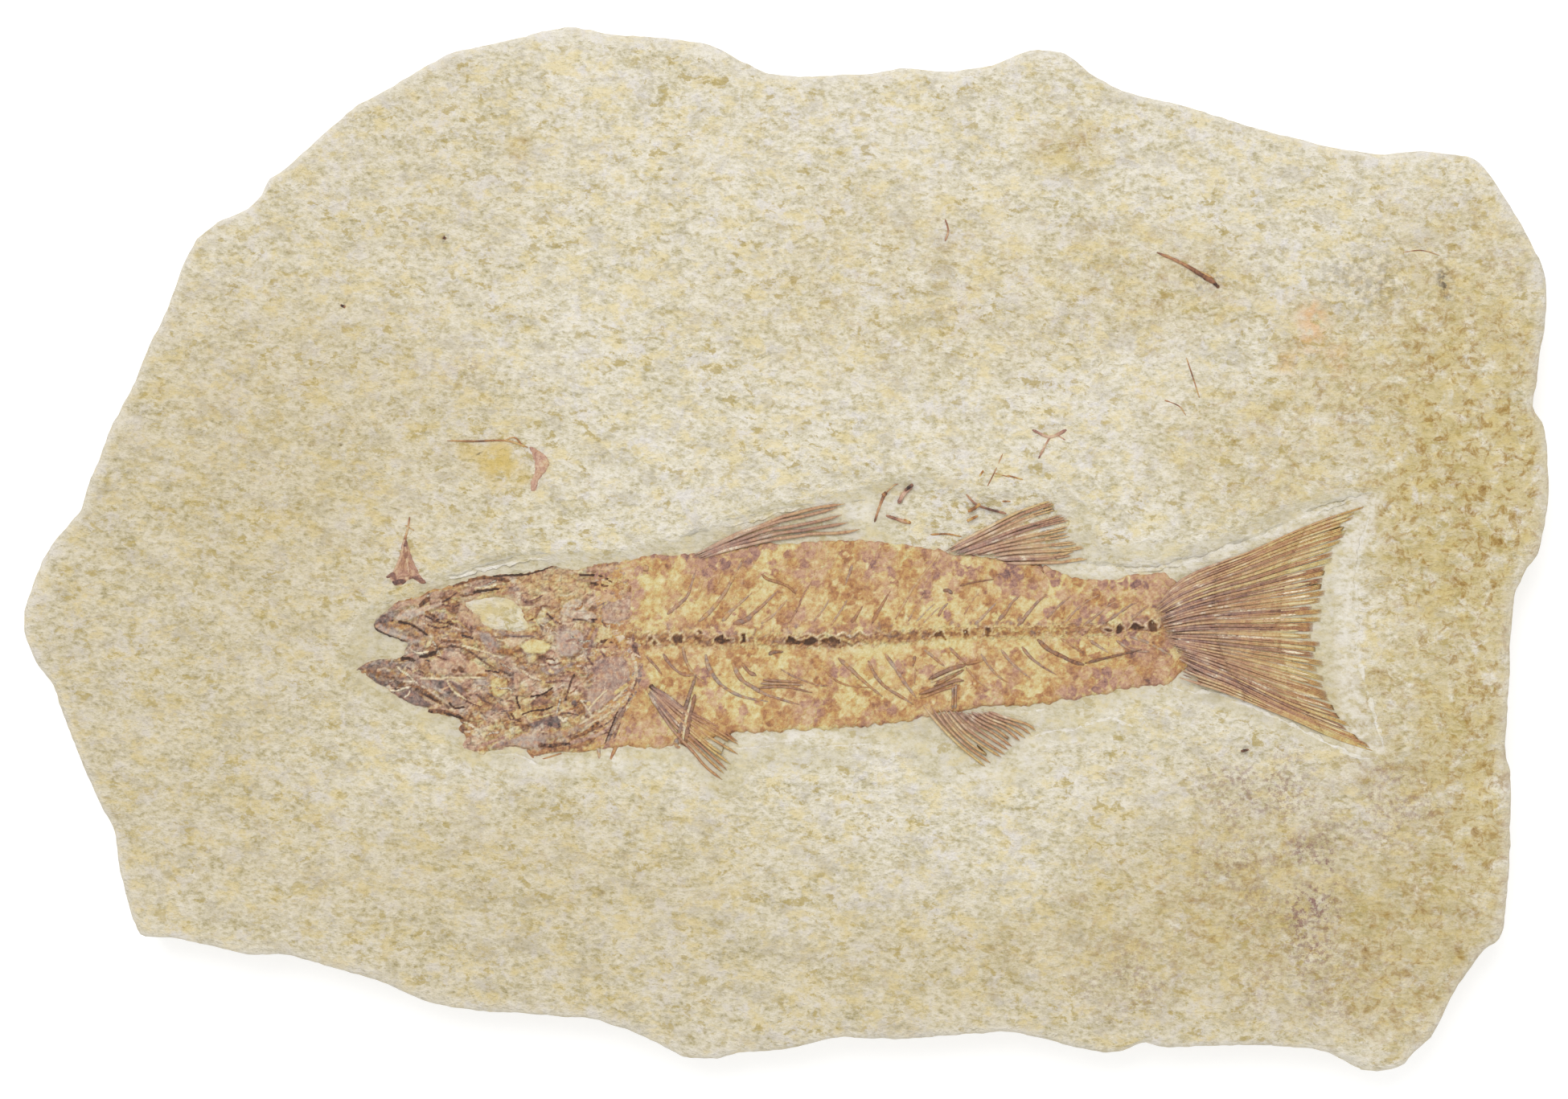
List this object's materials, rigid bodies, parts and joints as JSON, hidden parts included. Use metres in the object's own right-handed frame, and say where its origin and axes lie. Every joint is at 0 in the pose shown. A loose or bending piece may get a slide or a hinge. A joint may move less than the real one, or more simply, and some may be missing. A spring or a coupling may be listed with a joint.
{
  "type": "fossil fish slab",
  "caption": "Flat broken slab of cream limestone with a fossil fish prepared in its face, open-mouthed and side on, and a few loose fish bones round it.",
  "frame": {"origin": "centre of the slab's bounding rectangle, on its flat back", "axes": "+X from the fish's snout to its tail, +Y from its belly to its back, +Z out of the prepared face"},
  "size_m": [0.2946, 0.202, 0.0138],
  "materials": {
    "limestone": "matt, fine grained, cream with tan and grey-green mottling and orange iron stains",
    "fossil_bone": "mineralised bone and scales, matt to dull satin, orange-brown to mauve-brown",
    "loose_bone": "mineralised bone, dull satin, mauve-brown"
  },
  "bodies": {
    "root": {"limestone_slab": "limestone", "fossil_fish": "fossil_bone", "loose_cone_bone": "loose_bone", "loose_flake_bone": "loose_bone", "loose_splinter_bone": "loose_bone", "loose_rod_bone_1": "loose_bone", "loose_rod_bone_2": "loose_bone", "loose_rod_bone_3": "loose_bone", "loose_forked_bone": "loose_bone"}
  },
  "joints": []
}
